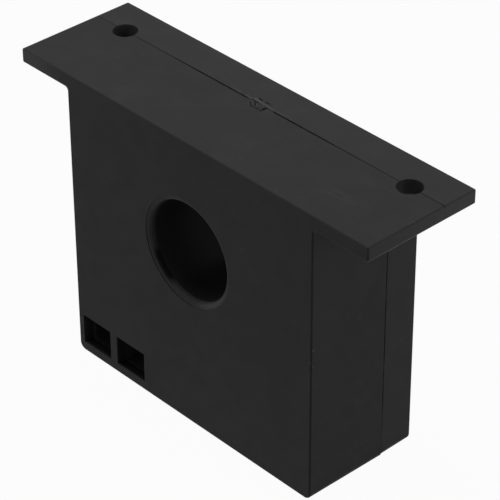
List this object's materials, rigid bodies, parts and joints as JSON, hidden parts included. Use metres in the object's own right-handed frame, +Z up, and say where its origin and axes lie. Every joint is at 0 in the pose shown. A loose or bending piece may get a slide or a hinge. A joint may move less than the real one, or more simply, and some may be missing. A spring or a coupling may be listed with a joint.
{
  "type": "current transducer",
  "caption": "Window-type current transducer: black two-part moulded case with a round bore, a flange with fixing holes, and blade tabs in sockets.",
  "frame": {"origin": "centre of the bottom of the bounding box, under the case, with the flange on top as in the picture", "axes": "+X along the mounting flange, +Y from the front face with the tab sockets to the rear face, +Z up through the flange"},
  "size_m": [0.098, 0.0282, 0.0671],
  "materials": {
    "case": "fine matte moulded black thermoplastic",
    "core_steel": "strip-wound silicon steel",
    "core_box": "natural nylon",
    "enamelled_copper": "enamelled copper wire",
    "foam": "dark cellular rubber",
    "lead_sleeve": "red sleeved wire",
    "board": "green solder mask on glass-epoxy",
    "carrier": "black glass-filled nylon",
    "tinned_brass": "tin-plated brass",
    "can_sleeve": "sleeved aluminium can",
    "epoxy_black": "moulded epoxy",
    "trimmer_blue": "blue moulded case",
    "resistor_body": "lacquered ceramic body",
    "disc_coating": "dipped blue coating",
    "film_box": "yellow moulded box"
  },
  "bodies": {
    "root": {"front_case": "case", "rear_cover": "case", "ring_core": "core_steel", "core_box": "core_box", "core_lid": "core_box", "secondary_winding": "enamelled_copper", "front_pad": "foam", "rear_pad": "foam", "start_lead": "lead_sleeve", "finish_lead": "lead_sleeve", "circuit_board": "board", "terminal_carrier": "carrier", "output_tab_left": "tinned_brass", "output_tab_right": "tinned_brass", "smoothing_capacitor": "can_sleeve", "bridge_rectifier": "epoxy_black", "transmitter_ic": "epoxy_black", "span_trimmer": "trimmer_blue", "burden_resistor": "resistor_body", "surge_suppressor": "disc_coating", "film_capacitor": "film_box", "pass_transistor": "epoxy_black"}
  },
  "joints": []
}
